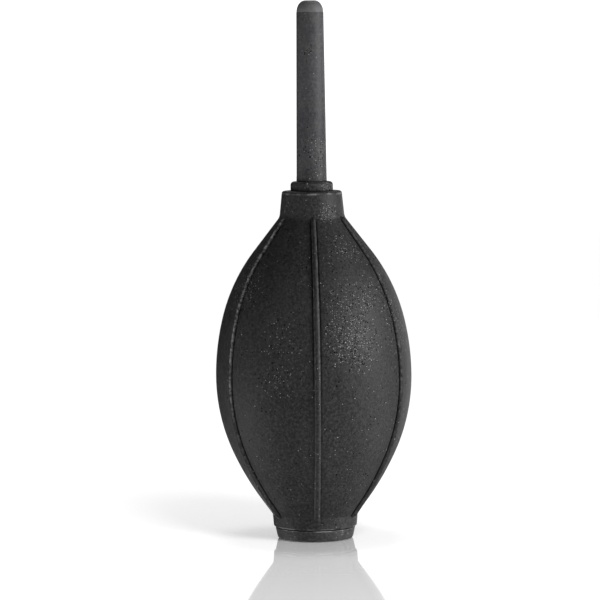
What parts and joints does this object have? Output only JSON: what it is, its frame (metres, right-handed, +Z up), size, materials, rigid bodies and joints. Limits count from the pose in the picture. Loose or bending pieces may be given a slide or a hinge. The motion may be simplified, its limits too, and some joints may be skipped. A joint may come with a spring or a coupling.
{
  "type": "dust blower bulb",
  "caption": "Hand-squeezed rubber air blower standing on its foot: ribbed bulb, long push-in nozzle in a flanged neck bush, and a plug with a one-way intake valve in the foot.",
  "frame": {"origin": "centre of the face it stands on, the underside of the base plug", "axes": "+Z up along the bulb and nozzle to the nozzle's tip; one rib of the bulb faces -Y"},
  "size_m": [0.0564, 0.058, 0.155],
  "materials": {
    "bulb_rubber": "matte, fine grain",
    "foot_rubber": "matte",
    "nozzle_rubber": "matte, slightly dusty",
    "bush_plastic": "satin",
    "black_plastic": "satin",
    "white_plastic": "natural moulded acetal",
    "valve_silicone": "smooth silicone",
    "filter_foam": "open-cell foam",
    "spring_steel": "drawn wire"
  },
  "bodies": {
    "foot": {"bulb": "bulb_rubber", "base_plug": "foot_rubber", "intake_grille": "black_plastic", "intake_filter": "filter_foam", "intake_spring": "spring_steel", "intake_cage": "white_plastic"},
    "head": {"neck_bush": "bush_plastic", "outlet_spring": "spring_steel", "outlet_cage": "white_plastic"},
    "nozzle": {"nozzle": "nozzle_rubber"},
    "intake_disc": {"intake_disc": "valve_silicone"},
    "outlet_disc": {"outlet_disc": "valve_silicone"}
  },
  "joints": [
    {"name": "bulb_press", "type": "slide", "parent": "foot", "child": "head", "axis": [0, 0, 1], "range_m": [-0.02, 0], "stiffness_N_per_m": 800, "deforming": ["bulb"]},
    {"name": "nozzle_pull", "type": "slide", "parent": "head", "child": "nozzle", "axis": [0, 0, 1], "range_m": [0, 0.012]},
    {"name": "intake_lift", "type": "slide", "parent": "foot", "child": "intake_disc", "axis": [0, 0, 1], "range_m": [0, 0.001], "stiffness_N_per_m": 40, "deforming": ["intake_spring"]},
    {"name": "outlet_lift", "type": "slide", "parent": "head", "child": "outlet_disc", "axis": [0, 0, 1], "range_m": [0, 0.001], "stiffness_N_per_m": 20, "deforming": ["outlet_spring"]}
  ]
}
